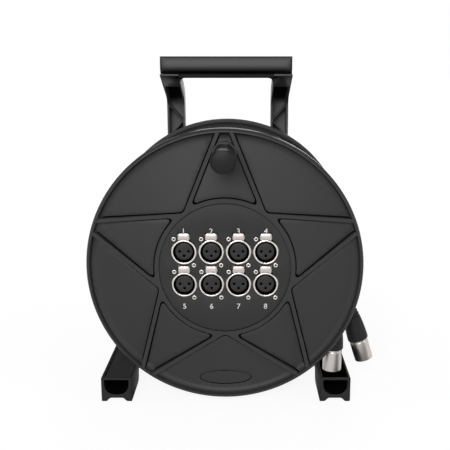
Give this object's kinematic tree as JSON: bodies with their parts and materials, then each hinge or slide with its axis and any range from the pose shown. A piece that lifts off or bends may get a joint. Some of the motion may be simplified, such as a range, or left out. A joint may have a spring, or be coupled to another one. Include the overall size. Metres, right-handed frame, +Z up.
{
  "type": "stage box cable drum",
  "caption": "Stage multicore on a carry drum: microphone sockets in the star-ribbed drum front, cable wound behind it, two tails, and a moulded stand with handle and feet",
  "frame": {"origin": "middle of the object's footprint, on the ground, without the cable's free end", "axes": "X to the right seen from the sockets' side, Y away from the viewer along the drum's axle, Z up"},
  "size_m": [0.2915, 0.259, 0.348],
  "materials": {
    "black_plastic": "semi-matt moulded plastic with a fine grain",
    "plate_paint": "matt black powder coat",
    "nickel": "satin nickel plate",
    "insert_plastic": "matt",
    "steel": "zinc plated",
    "bush_plastic": "plain",
    "cable_jacket": "matt cable jacket",
    "boot_rubber": "matt"
  },
  "bodies": {
    "frame": {"axle": "steel", "axle_clip": "steel", "axle_nut": "steel", "cable_breakout": "boot_rubber", "cable_lead": "cable_jacket", "cable_tail_1": "cable_jacket", "cable_tail_2": "cable_jacket", "carrier_bolt_lower_left": "steel", "carrier_bolt_lower_right": "steel", "carrier_bolt_upper_left": "steel", "carrier_bolt_upper_right": "steel", "cross_bar": "black_plastic", "foot_left": "black_plastic", "foot_right": "black_plastic", "grip_core": "black_plastic", "grip_cover": "black_plastic", "hub_carrier": "black_plastic", "plug_boot_1": "boot_rubber", "plug_boot_2": "boot_rubber", "plug_shell_1": "nickel", "plug_shell_2": "nickel", "side_frame_left": "black_plastic", "side_frame_right": "black_plastic"},
    "drum": {"bush_front": "bush_plastic", "bush_rear": "bush_plastic", "cable_gland": "boot_rubber", "cable_inner_layers": "cable_jacket", "cable_winding": "cable_jacket", "connector_plate": "plate_paint", "core_barrel": "black_plastic", "front_flange": "black_plastic", "knob_pin": "steel", "rear_flange": "black_plastic", "socket_insert_1": "insert_plastic", "socket_insert_2": "insert_plastic", "socket_insert_3": "insert_plastic", "socket_insert_4": "insert_plastic", "socket_insert_5": "insert_plastic", "socket_insert_6": "insert_plastic", "socket_insert_7": "insert_plastic", "socket_insert_8": "insert_plastic", "socket_shell_1": "nickel", "socket_shell_2": "nickel", "socket_shell_3": "nickel", "socket_shell_4": "nickel", "socket_shell_5": "nickel", "socket_shell_6": "nickel", "socket_shell_7": "nickel", "socket_shell_8": "nickel", "wiring_loom": "cable_jacket"},
    "knob": {"crank_knob": "black_plastic"},
    "latch_1": {"socket_latch_1": "nickel"},
    "latch_2": {"socket_latch_2": "nickel"},
    "latch_3": {"socket_latch_3": "nickel"},
    "latch_4": {"socket_latch_4": "nickel"},
    "latch_5": {"socket_latch_5": "nickel"},
    "latch_6": {"socket_latch_6": "nickel"},
    "latch_7": {"socket_latch_7": "nickel"},
    "latch_8": {"socket_latch_8": "nickel"}
  },
  "joints": [
    {"name": "drum_spin", "type": "hinge", "parent": "frame", "child": "drum", "pos_m": [0, -0.0715, 0.145], "axis": [0, 1, 0], "continuous": true},
    {"name": "knob_spin", "type": "hinge", "parent": "drum", "child": "knob", "pos_m": [0, -0.0715, 0.2565], "axis": [0, 1, 0], "continuous": true},
    {"name": "latch_press_1", "type": "slide", "parent": "drum", "child": "latch_1", "axis": [0, 1, 0], "range_m": [0, 0.0015], "stiffness_N_per_m": 800},
    {"name": "latch_press_2", "type": "slide", "parent": "drum", "child": "latch_2", "axis": [0, 1, 0], "range_m": [0, 0.0015], "stiffness_N_per_m": 800},
    {"name": "latch_press_3", "type": "slide", "parent": "drum", "child": "latch_3", "axis": [0, 1, 0], "range_m": [0, 0.0015], "stiffness_N_per_m": 800},
    {"name": "latch_press_4", "type": "slide", "parent": "drum", "child": "latch_4", "axis": [0, 1, 0], "range_m": [0, 0.0015], "stiffness_N_per_m": 800},
    {"name": "latch_press_5", "type": "slide", "parent": "drum", "child": "latch_5", "axis": [0, 1, 0], "range_m": [0, 0.0015], "stiffness_N_per_m": 800},
    {"name": "latch_press_6", "type": "slide", "parent": "drum", "child": "latch_6", "axis": [0, 1, 0], "range_m": [0, 0.0015], "stiffness_N_per_m": 800},
    {"name": "latch_press_7", "type": "slide", "parent": "drum", "child": "latch_7", "axis": [0, 1, 0], "range_m": [0, 0.0015], "stiffness_N_per_m": 800},
    {"name": "latch_press_8", "type": "slide", "parent": "drum", "child": "latch_8", "axis": [0, 1, 0], "range_m": [0, 0.0015], "stiffness_N_per_m": 800}
  ]
}
